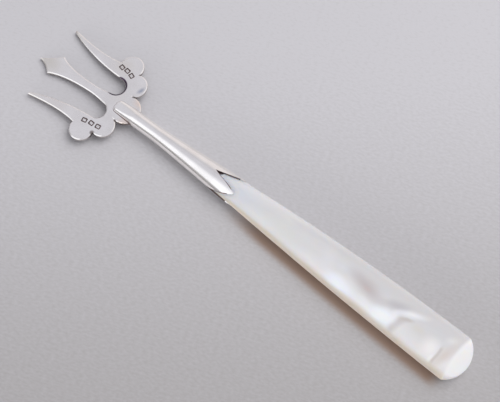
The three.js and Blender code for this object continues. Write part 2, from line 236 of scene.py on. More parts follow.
# old silver: bright, a little clouded, with fine rubbing marks and warm or grey places
silverLook = {
    "bright": (0.90, 0.89, 0.90, 1),
    "dull": (0.84, 0.825, 0.83, 1),
    "grime": (0.10, 0.065, 0.06, 1),
    "crust": (0.22, 0.17, 0.18, 1),          # patches on the grime
    "crustSize": 0.4 * mm,
    "sawn": (0.24, 0.21, 0.22, 1),           # the head's cut edges, darkened: tarnish and painted shade under the edges
    "corner": (0.09, 0.06, 0.06, 1),         # tarnish and painted shade between the head's lobes
    "ring": (0.07, 0.045, 0.08, 1),          # round the end of the far gap
    "ringWidth": (0.3 * mm, 0.65 * mm),      # full up to here, gone from there on
    "solder": (0.17, 0.11, 0.095, 1),        # a dark line round the ferrule's tongue: dirt in the joint and painted shade of the gap
    "jointDirtAndShadeWidth": (0.02 * mm, 0.22 * mm),
    "cloudSize": 7 * mm,
    "patchSize": 2.8 * mm,
    "rubSize": (2.2 * mm, 0.05 * mm, 0.4 * mm),
    "rubTurns": (8, -37, 64),
    "roughness": 0.17,
    "cloudRoughness": 0.05,
    "rubRoughness": 0.055,
    "dentSize": 3.5 * mm,
    "dentDepth": 0.2 * mm,
    "dentStrength": 0.1,
}
headTints = [            # on the head's upper face: middle, half size, turn, colour, weight
    ((36.0, 0.6), (8, 6), 0, (0.76, 0.735, 0.69), 0.9),
    ((33.5, 12.7), (9, 4), -10, (0.82, 0.80, 0.775), 0.8),
    ((24.0, 11.0), (10, 4), 14, (0.82, 0.795, 0.78), 0.7),
    ((33.5, -12.7), (9, 4), 10, (0.84, 0.815, 0.785), 0.7),
    ((35.6, -12.8), (1.8, 1.8), 0, (0.50, 0.46, 0.44), 0.9),
    ((14.0, -12.0), (6, 5), 0, (0.82, 0.79, 0.755), 0.8),
    ((9.2, -2.2), (4, 3), 30, (0.86, 0.84, 0.825), 0.7),
    ((2.0, 4.0), (3.2, 2.4), 0, (0.93, 0.80, 0.73), 0.8),
    ((2.0, -4.0), (3.2, 2.4), 0, (0.93, 0.81, 0.74), 0.9),
    ((4.4, -8.0), (2.2, 1.1), 72, (0.45, 0.48, 0.57), 0.95),
]
headCorners = [          # dark corners between lobes and along the heel's near rim, tarnish and painted shade: middle, half size, weight
    ((8.2, 12.3), 1.2, 0.85),
    ((4.9, 4.9), 0.9, 0.9),
    ((3.5, 5.0), 0.8, 0.8),
    ((2.0, 4.45), 0.8, 0.8),
    ((0.6, 3.4), 0.6, 0.7),
    ((8.2, -12.2), 0.8, 0.6),
    ((5.0, -4.9), 0.9, 0.7),
]


def silverBase(wire, place, tints):          # the silver's colour, its clouds and its rubbing marks
    look = silverLook
    cloud = noise(wire, place, look["cloudSize"], 4.0).rise(0.35, 0.7)
    rubbed = sum(streaks(wire, place, look["rubSize"], turn, 2.0).rise(0.55, 0.8)
                 for turn in look["rubTurns"])
    colour = cloud.blend(look["bright"], look["dull"])
    patches = noise(wire, place, look["patchSize"]).rise(0.25, 0.55)
    for (along, across), (long, wide), turn, tint, weight in tints:
        spot = softSpot(
            wire, place, (along * mm, across * mm, headShape["thickness"]),
            (long * mm, wide * mm, 6 * mm), turn)
        colour = (spot * (patches * 0.5 + 0.5) * weight).blend(colour, (*tint, 1))
    return colour, cloud, rubbed


def closeSilver(wire, place, colour, cloud, rubbed):
    look = silverLook
    dents = noise(wire, place, look["dentSize"], 2.0)
    closeMaterial(wire, {
        "Base Color": colour,
        "Metallic": 1.0,
        "Roughness": (look["roughness"] + cloud * look["cloudRoughness"]
                      + rubbed * look["rubRoughness"]),
        "Normal": bump(wire, dents, look["dentDepth"], look["dentStrength"]),
    })


def makeFerruleSilver():
    material, wire, place = newMaterial("ferruleSilver")
    closeSilver(wire, place, *silverBase(wire, place, []))
    return material


def makeHeadSilver():
    look, shape, ferrule = silverLook, headShape, ferruleShape
    material, wire, world = newMaterial("headSilver")
    seat = headSeat()
    place = wire.node("Mapping", {"vector_type": "TEXTURE"}, {
        "Vector": world, "Location": seat.to_translation(), "Rotation": seat.to_euler()})
    colour, cloud, rubbed = silverBase(wire, place, headTints)

    edgeDown = shape["edge"][1]
    upper = place.axes()[2].rise(shape["thickness"] - 2 * edgeDown, shape["thickness"] - edgeDown)
    # the cut edges darker than the upper face: tarnish and painted shade
    colour = ((1 - upper) * 0.6).blend(colour, look["sawn"])
    for (along, across), radius, weight in headCorners:
        spot = softSpot(wire, place, (along * mm, across * mm, halfSheet), (radius * mm * 2,) * 3)
        wall, flat = spot.rise(0, 0.5), spot.rise(0.5, 0.84)      # the painted shade spreads further on the sawn wall
        colour = ((wall + (flat - wall) * upper) * weight).blend(colour, look["corner"])

    gapEnd = (shape["gapAt"], -shape["centreRoot"] / 2 - shape["gapRadius"], shape["thickness"])
    offGap = place.vector("DISTANCE", gapEnd, 1) - shape["gapRadius"]
    ring = 1 - offGap.rise(*look["ringWidth"])
    colour = (ring * upper).blend(colour, look["ring"])

    x, y = world.axes()[:2]
    corner = ferrule["noseRound"]
    halfMouth, halfNose = ferrule["mouth"][0] / 2, ferrule["nose"][0] / 2
    narrowing = (x - mouthX) * ((halfMouth - halfNose) / ferrule["tongueLength"])
    pastSide = wire.math("ABSOLUTE", y - sideBow(noseX)) + narrowing - (halfMouth - corner)
    pastNose = x - (noseX - corner)
    past = (wire.math("MAXIMUM", pastSide, 0) ** 2 + wire.math("MAXIMUM", pastNose, 0) ** 2) ** 0.5
    # dirt in the joint and painted shade of the gap round the tongue
    solder = 1 - (past - corner).rise(*look["jointDirtAndShadeWidth"])
    colour = (solder * 0.9).blend(colour, look["solder"])
    closeSilver(wire, place, colour, cloud, rubbed)
    return material


def makeTarnish():       # dark tarnish in struck marks and on cut edges
    material, wire, place = newMaterial("tarnish")
    crust = noise(wire, place, silverLook["crustSize"]).rise(0.4, 0.65)
    closeMaterial(wire, {
        "Base Color": crust.blend(silverLook["grime"], silverLook["crust"]),
        "Metallic": 0.6 - crust * 0.3,
        "Roughness": 0.45 + crust * 0.3,
        "Normal": bump(wire, crust, 0.03 * mm, 0.5),
    })
    return material


# mother of pearl: milky layers with cool and warm drifts, and soft streaks near the free end, partly painted
# sheen
pearlLook = {
    "milk": (0.78, 0.775, 0.79, 1),
    "cloud": (0.73, 0.73, 0.75, 1),
    "bright": (0.90, 0.895, 0.91, 1),        # painted light: the near half lighter
    "cream": (0.76, 0.70, 0.60, 1),          # along the near edge: the shell's own cream, deepened as painted shade
    "tan": (0.74, 0.63, 0.53, 1),            # on the near flank, also given off there as a painted glow
    "rim": (0.62, 0.61, 0.62, 1),            # painted shade on the far half
    # painted light: the sloping cut at the free end lighter, as it faces the lamp
    "facet": (0.95, 0.945, 0.945, 1),
    "gleam": (0.32, 0.38, 0.54, 1),          # a painted bluish sheen, given off as a glow
    "stepShade": (0.50, 0.44, 0.40, 1),      # painted shade before the end of a layer, and a painted highlight past it
    "stepGleam": (0.88, 0.89, 0.94, 1),
    "grime": (0.05, 0.035, 0.03, 1),         # under the notch in the ferrule's crown
    "grimeAt": (11.1 * mm, -1.6 * mm, axisZ + 2.4 * mm),
    "grimeSize": (1.8 * mm, 1.5 * mm, 3 * mm),
    "driftSize": 9 * mm,
    "drift": 1.0 * mm,
    "layerSize": (24 * mm, 4 * mm, 6 * mm),
    "layerTurn": 6,
    "grainSize": (6 * mm, 0.5 * mm, 1 * mm),
    "grainTurn": 12,
    "spotHeight": axisZ * 1.7,               # streaks and steps sit a little under the upper face
    "spotDepth": 9 * mm,
    "streakSpread": 1.3,                     # how far a streak or a step fades past its half size
    "stepSpread": 1.5,
    "roughness": 0.3,
    "glow": 0.23,                            # painted glow: emission on the flank and the gleams, for light that seeps through the shell
}
pearlStreaks = [         # the shell's own patches, partly painted sheen: middle, half size, turn, colour, weight
    ((0, -0.5), (8, 4.5), 0, (0.75, 0.765, 0.81), 0.7),
    ((-18, 1.0), (13, 4), 0, (0.77, 0.765, 0.745), 0.6),
    ((-32, 0.5), (3, 4), 20, (0.82, 0.82, 0.85), 0.7),
    ((-36.5, -0.5), (3, 2.6), -30, (0.79, 0.80, 0.84), 0.7),
    ((-38.5, 4.5), (6.0, 2.6), -6, (0.88, 0.92, 1.0), 0.95),
    ((-48.5, 5.1), (9, 2.2), 4, (0.89, 0.92, 0.98), 0.95),
    ((-54.8, 4.6), (5.5, 3.0), 14, (0.92, 0.95, 1.0), 0.95),
    ((-57.6, 1.6), (1.8, 2.8), 12, (0.90, 0.905, 0.94), 0.9),
    ((-46.0, 0.0), (7.0, 2.9), -14, (0.595, 0.545, 0.55), 0.9),
    ((-46.4, 0.5), (1.6, 1.0), 0, (0.66, 0.56, 0.55), 0.6),
    ((-52.3, -2.0), (1.8, 1.8), 0, (0.75, 0.74, 0.77), 0.7),
    ((-56.5, -1.1), (6.0, 1.9), 24, (0.59, 0.575, 0.60), 0.9),
    ((-61.8, -2.0), (5.2, 1.3), 27, (0.97, 0.97, 1.0), 0.95),
    ((-66.5, 1.5), (6, 4.0), 0, (0.74, 0.73, 0.73), 0.7),
    ((-65.0, 1.0), (2.5, 1.5), 0, (0.75, 0.73, 0.68), 0.6),
    ((-70.8, 3.5), (3.6, 3.6), 80, (0.96, 0.955, 0.97), 0.85),
    ((-72.6, 5.3), (0.8, 1.4), -8, (1.0, 1.0, 1.0), 1.0),
    ((-75.0, -2.2), (2.6, 1.6), 40, (0.86, 0.86, 0.87), 0.85),
    ((-75.4, 2.4), (6.0, 1.8), 71, (0.74, 0.685, 0.655), 0.9),
]
pearlGleams = [          # spots of painted bluish glow: middle, half size, turn
    ((-38.5, 4.5), (6.0, 2.6), -6),
    ((-54.8, 4.6), (5.5, 3.0), 14),
]
# ends of shell layers, shown by painted shade and highlight: place, lean, where and how much it curls,
# softness, middle, half size, weight
pearlSteps = [
    (-59.3, 0.22, 2.0, 0.43, 1.0, (-59.6, 2.8), (4, 4.4), 0.45),
    (-73.5, 0.03, 0.5, 0.05, 0.45, (-73.8, 3.8), (3, 3), 0.42),
]


def handleSide(alongX):  # the handle's half width, worked out in a shader
    shape = handleShape
    taper = alongX.node("MapRange", {}, {
        "Value": alongX, "From Min": rearX + shape["endBulge"], "From Max": pointsX})
    return shape["width"] / 2 - taper ** shape["taperPower"] * (
        (shape["width"] - ferruleShape["rear"][0]) / 2 + shape["frontGap"])


def pearlSpot(wire, place, middle, halfSize, spread, turn=0.0):
    (x, y), (long, wide) = middle, halfSize
    return softSpot(
        wire, place, (x * mm, y * mm, pearlLook["spotHeight"]),
        (long * mm * spread, wide * mm * spread, pearlLook["spotDepth"]), turn)


def makePearl():
    look = pearlLook
    material, wire, place = newMaterial("motherOfPearl")
    swirl = noise(wire, place, look["driftSize"], 2.0, output=1)
    push = swirl.vector("SUBTRACT", (0.5, 0.5, 0.5)).vector("MULTIPLY", (look["drift"] * 2,) * 3)
    drifted = place.vector("ADD", push)
    layers = streaks(wire, drifted, look["layerSize"], look["layerTurn"], 4.0)
    alongX, acrossY, heightZ = place.axes()
    out = (acrossY - sideBow(alongX)) / handleSide(alongX)   # 1 on the near edge, -1 on the far edge
    wavy = out + (layers - 0.5) * 0.25
    colour = layers.rise(0.35, 0.65).blend(look["milk"], look["cloud"])
    # painted light: the near half of the shell lighter
    colour = (wavy.rise(-0.1, 0.6) * 0.6).blend(colour, look["bright"])
    for middle, halfSize, turn, tint, weight in pearlStreaks:
        spot = pearlSpot(wire, drifted, middle, halfSize, look["streakSpread"], turn)
        colour = (spot * weight).blend(colour, (*tint, 1))

    driftX, driftY = drifted.axes()[:2]
    for at, lean, bendY, curl, soft, middle, halfSize, weight in pearlSteps:
        lag = wire.math("MAXIMUM", bendY * mm - driftY, 0)
        ahead = (driftX + lag * lag * (curl / mm) - (driftY - bendY * mm) * lean - at * mm) / soft
        reach = pearlSpot(wire, place, middle, halfSize, look["stepSpread"]).rise(0, 0.6) * weight
        shade = ahead.rise(-2.2 * mm, -0.4 * mm) * (1 - ahead.rise(-0.4 * mm, 1.5 * mm))
        gleam = ahead.rise(0.8 * mm, 2.6 * mm) * (1 - ahead.rise(2.6 * mm, 5.0 * mm))
        colour = (shade * reach).blend(colour, look["stepShade"])
        colour = (gleam * reach * 0.6).blend(colour, look["stepGleam"])

    # the shell's own cream along the near edge, deepened as painted shade
    colour = (wavy.rise(0.76, 0.98) * 0.95).blend(colour, look["cream"])
    flank = out.rise(0.8, 1.0) * (axisZ * 1.1 - heightZ).rise(-1.5 * mm, 1.5 * mm)
    colour = flank.blend(colour, look["tan"])
    # painted shade: the far half darker, less so toward the ferrule
    farShade = wavy.rise(0, -0.95) * (0.72 - alongX.rise(-45 * mm, -5 * mm) * 0.5)
    colour = farShade.blend(colour, look["rim"])
    # painted light on the sloping cut at the free end
    facetX = alongX + out * out * 1.2 * mm
    facetEnd = rearX + handleShape["facet"][0]
    facet = 1 - facetX.rise(facetEnd - 0.6 * mm, facetEnd + 0.8 * mm)
    colour = (facet * (1 - flank) * 0.85).blend(colour, look["facet"])
    grime = softSpot(wire, place, look["grimeAt"], look["grimeSize"])
    colour = grime.rise(0.05, 0.5).blend(colour, look["grime"])
    grain = streaks(wire, drifted, look["grainSize"], look["grainTurn"])
    # painted glow: bluish on the gleams, tan on the near flank
    glow = (0, 0, 0, 1)
    for middle, halfSize, turn in pearlGleams:
        spot = pearlSpot(wire, drifted, middle, halfSize, look["streakSpread"], turn)
        glow = spot.blend(glow, look["gleam"])
    closeMaterial(wire, {
        "Base Color": colour,
        "Roughness": look["roughness"] + layers * 0.12,
        "Subsurface Weight": 0.85,
        "Subsurface Radius": (1.0, 0.8, 0.6),
        "Subsurface Scale": 4 * mm,
        "Emission Color": flank.blend(glow, look["tan"]),
        "Emission Strength": look["glow"],
        "Coat Weight": 0.6,
        "Coat Roughness": 0.12,
        "Normal": bump(wire, layers + grain * 0.15, 0.2 * mm, 0.12),
    })
    return material


tangLook = {
    "steel": (0.55, 0.55, 0.56, 1),
    "rust": (0.23, 0.13, 0.08, 1),
    "rustSize": 1.5 * mm,
    "drawnSize": (6 * mm, 0.15 * mm, 0.15 * mm),
}


def makeTangSteel():
    look = tangLook
    material, wire, place = newMaterial("tangSteel")
    drawn = streaks(wire, place, look["drawnSize"])
    rust = noise(wire, place, look["rustSize"], 4.0).rise(0.55, 0.75)
    closeMaterial(wire, {
        "Base Color": (rust * 0.7).blend(look["steel"], look["rust"]),
        "Metallic": 1 - rust * 0.6,
        "Roughness": 0.3 + drawn * 0.2 + rust * 0.25,
        "Normal": bump(wire, drawn, 0.05 * mm, 0.4),
    })
    return material


cementLook = {
    "dark": (0.17, 0.11, 0.075, 1),
    "pale": (0.26, 0.19, 0.14, 1),
    "clumpSize": 2 * mm,
    "gritSize": 0.35 * mm,
}


def makeCement():
    look = cementLook
    material, wire, place = newMaterial("cutlersCement")
    grit = noise(wire, place, look["gritSize"], 5.0)
    clumps = noise(wire, place, look["clumpSize"]).rise(0.35, 0.65)
    closeMaterial(wire, {
        "Base Color": clumps.blend(look["dark"], look["pale"]),
        "Roughness": 0.7 + grit * 0.25,
        "Normal": bump(wire, grit, 0.12 * mm, 0.6),
    })
    return material


# handle and ferrule are a little bowed to one side, as work by hand is
forkBow = {"middle": -20 * mm, "reach": 62 * mm, "depth": 0.6 * mm, "shift": -0.1 * mm}


def sideBow(x):
    return ((x - forkBow["middle"]) / forkBow["reach"]) ** 2 * forkBow["depth"] + forkBow["shift"]


# the fork head: a flat sheet sawn into two lobes a side, two curved tines and a spear
headShape = {
    "length": 39 * mm,
    "thickness": 1.3 * mm,
    "tab": (6 * mm, 2.2 * mm),
    "heelAt": 4.4 * mm,
    "heelRadius": 4.9 * mm,
    "rearLobe": (4 * mm, 72, 0.17 * mm),     # radius, angle from the heel, overlap with it
    "frontLobe": (3.9 * mm, 44.4, 1.04 * mm),
    "barbInset": 0.5 * mm,
    "tipOut": 13.2 * mm,
    "tipBack": 4.3 * mm,
    "tipWidth": 0.75 * mm,
    "outerBow": (0.33, 1.5 * mm),            # place along the tine, and how far it bows in
    "innerBow": (0.52, 2 * mm),
    "gapRadius": 2.95 * mm,
    "gapAt": 11.9 * mm,
    "gapAngles": (95, 260),
    "exitAngle": 10,
    "centreRoot": 4.1 * mm,
    "centreWaist": 2.7 * mm,
    "waistPastGap": 6.1 * mm,
    "spearWidth": 7.6 * mm,
    "spearPoint": 5.9 * mm,
    "spearFlare": 4.6 * mm,
    "spearHollow": 0.42 * mm,
    "spearSkew": 0.145,                      # filed by hand: the spear leans a little
    "apexShift": 0.85 * mm,
    "tipSkew": (0.7 * mm, 0.4 * mm),         # the +Y tine is shorter, the other longer and spread
    "setAngle": 2.8,                         # soldered a little askew in the ferrule
    "edge": (0.32 * mm, 0.21 * mm),          # the worn rim: how far in, how far down
    "sharpAngle": 25,
}
halfSheet = headShape["thickness"] / 2
headDroop = (math.asin(axisZ / math.hypot(headShape["length"], halfSheet))
             - math.atan2(halfSheet, headShape["length"]))


def around(centre, radius, degrees):
    angle = math.radians(degrees)
    return centre + radius * Vector((math.cos(angle), math.sin(angle), 0))


def outerCrossing(first, firstRadius, second, secondRadius):
    crossings = intersect_sphere_sphere_2d(
        first.to_2d(), firstRadius, second.to_2d(), secondRadius)
    return min(crossings, key=lambda point: point.x).to_3d()


def drawHalfHead(bm):    # the half on the +Y side, from the tab to the point of the spear
    shape = headShape
    tabLength, halfTab = shape["tab"][0], shape["tab"][1] / 2
    rearRadius, rearAngle, rearOverlap = shape["rearLobe"]
    frontRadius, frontAngle, frontOverlap = shape["frontLobe"]
    heel = Vector((shape["heelAt"], 0, 0))
    rear = around(heel, shape["heelRadius"] + rearRadius - rearOverlap, rearAngle)
    front = around(rear, rearRadius + frontRadius - frontOverlap, frontAngle)
    heelNotch = outerCrossing(heel, shape["heelRadius"], rear, rearRadius)
    lobeNotch = outerCrossing(rear, rearRadius, front, frontRadius)
    barb = around(front, frontRadius, -math.degrees(math.asin(shape["barbInset"] / frontRadius)))
    tip = Vector((shape["length"] - shape["tipBack"], shape["tipOut"], 0))
    innerTip = tip - Vector((0, shape["tipWidth"], 0))
    gap = Vector((shape["gapAt"], shape["centreRoot"] / 2 + shape["gapRadius"], 0))
    root, leave = (around(gap, shape["gapRadius"], angle) for angle in shape["gapAngles"])
    halfWaist, halfSpear = shape["centreWaist"] / 2, shape["spearWidth"] / 2
    shoulder = Vector((shape["length"] - shape["spearPoint"], halfSpear, 0))
    apex = Vector((shape["length"], 0, 0))
    edge = apex - shoulder
    hollow = Vector((edge.y, -edge.x, 0)).normalized() * shape["spearHollow"]
    outerPlace, outerBow = shape["outerBow"]
    innerPlace, innerBow = shape["innerBow"]

    pen = Pen(bm, Vector((-tabLength, 0, 0)))
    pen.line(Vector((-tabLength, halfTab, 0)))
    heelStart = math.pi - math.asin(halfTab / shape["heelRadius"])
    pen.line(around(heel, shape["heelRadius"], math.degrees(heelStart)))
    pen.arc(heel, heelNotch, True)
    pen.arc(rear, lobeNotch, True)
    pen.arc(front, barb, True)
    pen.bend(barb.lerp(tip, outerPlace) - Vector((0, outerBow, 0)), tip)
    pen.line(innerTip)
    pen.bend(root.lerp(innerTip, innerPlace) - Vector((0, innerBow, 0)), root)
    pen.arc(gap, leave, False)
    bendX = leave.x + (leave.y - halfWaist) / math.tan(math.radians(shape["exitAngle"]))
    pen.bend(Vector((bendX, halfWaist, 0)),
             Vector((shape["gapAt"] + shape["waistPastGap"], halfWaist, 0)))
    pen.bend(Vector((shoulder.x - shape["spearFlare"], halfWaist, 0)), shoulder)
    pen.bend((shoulder + apex) / 2 + 2 * hollow, apex)


def headSeat():          # from the head's own flat frame to its place in the fork
    return (Matrix.Translation((mouthX, 0, axisZ)) @ Matrix.Rotation(headDroop, 4, "Y")
            @ Matrix.Rotation(math.radians(headShape["setAngle"]), 4, "Z")
            @ Matrix.Translation((0, 0, -halfSheet)))


def makeHead(silver, tarnish):
    shape = headShape
    bm = bmesh.new()
    drawHalfHead(bm)
    bmesh.ops.mirror(bm, geom=bm.verts[:] + bm.edges[:], axis="Y", merge_dist=0.001 * mm)
    bmesh.ops.remove_doubles(bm, verts=bm.verts[:], dist=0.001 * mm)
    edgeIn, edgeDown = shape["edge"]
    bmesh.ops.translate(bm, vec=(0, 0, edgeDown), verts=bm.verts[:])
    sheet = bmesh.ops.edgeloop_fill(bm, edges=bm.edges[:])["faces"]
    raised = bmesh.ops.extrude_face_region(bm, geom=sheet)["geom"]
    bmesh.ops.translate(
        bm, vec=(0, 0, shape["thickness"] - 2 * edgeDown),
        verts=only(bmesh.types.BMVert, raised))
    bmesh.ops.recalc_face_normals(bm, faces=bm.faces[:])
    for flat in [face for face in bm.faces if len(face.verts) > 4]:
        bmesh.ops.inset_region(bm, faces=[flat], thickness=edgeIn, depth=edgeDown, use_even_offset=True)
    waistX, shoulderX = shape["gapAt"] + shape["waistPastGap"], shape["length"] - shape["spearPoint"]
    tipWorn, tipSpread = shape["tipSkew"]
    for vert in bm.verts:
        if abs(vert.co.y) <= shape["spearWidth"] / 2:
            vert.co.x += shape["spearSkew"] * vert.co.y * share(vert.co.x, waistX, shoulderX)
            vert.co.y += shape["apexShift"] * share(vert.co.x, shoulderX, shape["length"])
        else:
            toTip = share(vert.co.x, waistX, shape["length"] - shape["tipBack"])
            vert.co.y += min(0, math.copysign(tipSpread, vert.co.y)) * toTip ** 2
            vert.co.x -= math.copysign(tipWorn, vert.co.y) * toTip ** 2
    bmesh.ops.transform(bm, matrix=headSeat(), verts=bm.verts[:])
    piece = newPiece("forkHead", bm, "fork_head", "silver", silver)
    strikeMarks(piece, silver, tarnish)
    piece.data.set_sharp_from_angle(angle=math.radians(shape["sharpAngle"]))
    holdFlats = piece.modifiers.new("holdFlats", "WEIGHTED_NORMAL")
    holdFlats.weight = 100                   # large flats stay flat where they meet the worn rim
    holdFlats.keep_sharp = True


# six blank punch marks, worn and dark at their borders
headMarks = {
    "places": [(12.9, 10.2, 10), (10.4, 9.8, -4), (7.9, 9.6, 6),
               (14.6, -11.3, -16), (12.4, -11.2, -10), (10.2, -10.5, -24)],
    "size": (1.85 * mm, 1.6 * mm),
    "corner": 0.3 * mm,
    "depth": 0.14 * mm,
    "border": 0.4 * mm,
    "padDepth": 0.05 * mm,
}


def strikeMarks(piece, silver, tarnish):
    marks = headMarks
    bm = bmesh.new()
    for along, across, turn in marks["places"]:
        at = (Matrix.Translation((along * mm, across * mm, headShape["thickness"]))
              @ Matrix.Rotation(math.radians(turn), 4, "Z")
              @ Matrix.Diagonal((*marks["size"], marks["depth"] * 2, 1)))
        corners = bmesh.ops.create_cube(bm, size=1, matrix=at)["verts"]
        uprights = [edge for edge in edgesAt(corners)
                    if abs(edge.verts[0].co.z - edge.verts[1].co.z) > marks["depth"]]
        bmesh.ops.bevel(
            bm, geom=uprights, offset=marks["corner"], offset_type="OFFSET", affect="EDGES",
            segments=4, profile=0.5, material=-1, clamp_overlap=True)
    bmesh.ops.recalc_face_normals(bm, faces=bm.faces[:])
    for face in bm.faces:
        face.material_index = 1
    for floor in [face for face in bm.faces if face.normal.z < -0.9]:
        bmesh.ops.inset_region(bm, faces=[floor], thickness=marks["border"], use_even_offset=True)
        floor.material_index = 0
        bmesh.ops.translate(bm, vec=(0, 0, marks["depth"] - marks["padDepth"]), verts=floor.verts[:])
    bmesh.ops.transform(bm, matrix=headSeat(), verts=bm.verts[:])
    punch = newObject("punch", bm, silver, tarnish)
    cut = piece.modifiers.new("marks", "BOOLEAN")
    cut.object = punch
    cut.operation = "DIFFERENCE"
    cut.solver = "EXACT"
    cut.material_mode = "TRANSFER"
    struck = bpy.data.meshes.new_from_object(
        piece.evaluated_get(bpy.context.evaluated_depsgraph_get()))
    piece.modifiers.clear()
    spares = piece.data, punch.data
    piece.data = struck
    bpy.data.objects.remove(punch)
    for spare in spares:
        bpy.data.meshes.remove(spare)
    print("struck", len(marks["places"]), "marks")


def laidGrid(rows, sides, rule):     # a flat grid laid out by rule(along, across), both 0 to 1
    bm = bmesh.new()
    bmesh.ops.create_grid(bm, x_segments=rows, y_segments=sides, size=0.5)
    for vert in bm.verts:
        vert.co = rule(vert.co.x + 0.5, vert.co.y + 0.5)
    return bm


# the ferrule: two pressed half shells that grip the head with a tongue each and end in a crown
ferruleShape = {
    "rear": (9.7 * mm, 6.6 * mm),
    "waist": (5 * mm, 4.7 * mm),
    "mouth": (5.1 * mm, 4.7 * mm),
    "nose": (4.1 * mm, 3.6 * mm),
    "squareness": (2, 1.7),                  # at the mouth, at the crown: a soft ridge along the top
    "flarePower": 1.25,
    "waistBack": 8 * mm,
    "tongueLength": 8 * mm,
    "noseRound": 1.3 * mm,
    "noseNarrow": 0.5,
    "noseSquare": 4.2,                       # the tongue flattens toward its nose
    "mouthEase": 0.15 * mm,                  # half the step from the barrel to the tongue
    "wall": 0.4 * mm,
    "seam": 0.16 * mm,
    "crownDepth": 9 * mm,
    "crownOpening": (6.85 * mm, 4.45 * mm),  # between points, across the top and up the side
    "crownTurn": 30,                         # the upper and lower notches sit a little askew
    "crownTurnPower": 1.5,                   # how late along the barrel that turn sets in
    "lip": 0.06 * mm,
    "cleanPoint": 1.6 * mm,                  # the points are rubbed clean of tarnish
    "rows": 108,
    "sides": 64,
    "noseShare": 0.1,                        # of the rows, those before the end of the nose
    "tongueShare": 0.3,                      # and of the tongue
    "sharpAngle": 50,
}
mouthX = noseX - ferruleShape["tongueLength"]


def ferruleHalf(x):      # half width and half height of the ferrule's outside
    shape = ferruleShape
    waistX = mouthX - shape["waistBack"]
    end, endX = (shape["rear"], pointsX) if x < waistX else (shape["mouth"], mouthX)
    reach = max(0, (x - waistX) / (endX - waistX)) ** shape["flarePower"]
    return [mix(waist, size, reach) / 2 for waist, size in zip(shape["waist"], end)]


def makeFerruleHalf(name, node, silver, tarnish, side):         # side: 1 above the seam, -1 below it
    shape = ferruleShape
    openOut, openUp = (opening / 2 for opening in shape["crownOpening"])
    rearOut, rearUp = (size / 2 for size in shape["rear"])
    barrelX = mouthX - shape["mouthEase"]
    tipTurn = math.acos(openOut / rearOut)   # where the crown's points stand

    def crownPlace(turn):                    # how far to the side a point of the crown sits
        return math.cos(turn + math.radians(shape["crownTurn"]) * math.sin(turn))

    def tonguePoint(at, roundness, turn):    # at: how far in front of the mouth
        reach = share(at, 0, shape["tongueLength"])
        halfWidth, halfHeight = (
            mix(mouth, nose, reach) / 2 for mouth, nose in zip(shape["mouth"], shape["nose"]))
        halfWidth *= 1 - shape["noseNarrow"] * (1 - roundness)
        power = 2 / mix(2, shape["noseSquare"], reach)
        lowest = math.asin((halfSheet / halfHeight) ** (1 / power))
        angle = mix(lowest, math.pi - lowest, turn / math.pi)
        out = signedPower(math.cos(angle), power)
        rise = (halfHeight * math.sin(angle) ** power - halfSheet) * roundness
        middle = axisZ - at * math.tan(headDroop)
        return (mouthX + at, sideBow(mouthX + at) + halfWidth * out, middle + side * (halfSheet + rise))

    def barrelPoint(along, turn):            # along: from the mouth to the crown's edge
        notch = max(0, 1 - math.sin(turn) * rearUp / openUp)
        fromApex = crownPlace(turn) - crownPlace(math.pi / 2)
        if tipTurn < turn < math.pi - tipTurn:
            tip = crownPlace(tipTurn if fromApex > 0 else math.pi - tipTurn)
            notch = 1 - fromApex / (tip - crownPlace(math.pi / 2))
        x = mix(barrelX, pointsX + shape["crownDepth"] * notch, along)
        halfWidth, halfHeight = ferruleHalf(x)
        gap = math.asin(shape["seam"] / 2 / halfHeight)
        back = share(x, barrelX, pointsX)
        angle = side * mix(gap, math.pi - gap, turn / math.pi)
        angle += math.radians(shape["crownTurn"]) * math.sin(turn) * back ** shape["crownTurnPower"]
        power = 2 / mix(*shape["squareness"], back)
        return (x, sideBow(x) + halfWidth * signedPower(math.cos(angle), power),
                axisZ + halfHeight * signedPower(math.sin(angle), power))

    def shellPoint(along, across):
        turn = math.pi * across
        if along < shape["noseShare"]:
            roll = along / shape["noseShare"] * math.pi / 2
            at = shape["tongueLength"] - shape["noseRound"] * (1 - math.cos(roll))
            return tonguePoint(at, math.sin(roll), turn)
        if along < shape["tongueShare"]:
            at = mix(shape["tongueLength"] - shape["noseRound"], shape["mouthEase"],
                     share(along, shape["noseShare"], shape["tongueShare"]))
            return tonguePoint(at, 1, turn)
        return barrelPoint(share(along, shape["tongueShare"], 1), turn)

    def tarnishEdge(faces):                  # dark round the crown, but for the rubbed points
        for face in faces:
            back = face.calc_center_median().x - pointsX
            face.material_index = int(shape["cleanPoint"] < back < shape["crownDepth"])

    bm = laidGrid(shape["rows"], shape["sides"], shellPoint)
    bmesh.ops.remove_doubles(bm, verts=bm.verts[:], dist=0.002 * mm)
    bmesh.ops.recalc_face_normals(bm, faces=bm.faces[:])
    top = max(bm.faces, key=lambda face: side * face.calc_center_median().z)
    if top.normal.z * side < 0:
        bmesh.ops.reverse_faces(bm, faces=bm.faces[:])
    rim = [edge for edge in bm.edges if edge.is_boundary]
    bmesh.ops.solidify(bm, geom=bm.faces[:], thickness=shape["wall"])
    tarnishEdge({face for edge in rim for face in edge.link_faces})
    lip = bmesh.ops.bevel(
        bm, geom=[edge for edge in rim if edge.is_valid], offset=shape["lip"],
        offset_type="OFFSET", affect="EDGES", segments=2, profile=0.5, material=-1,
        clamp_overlap=True)["faces"]
    tarnishEdge(lip)
    piece = newPiece(name, bm, node, "silver", silver, tarnish)
    piece.data.set_sharp_from_angle(angle=math.radians(shape["sharpAngle"]))


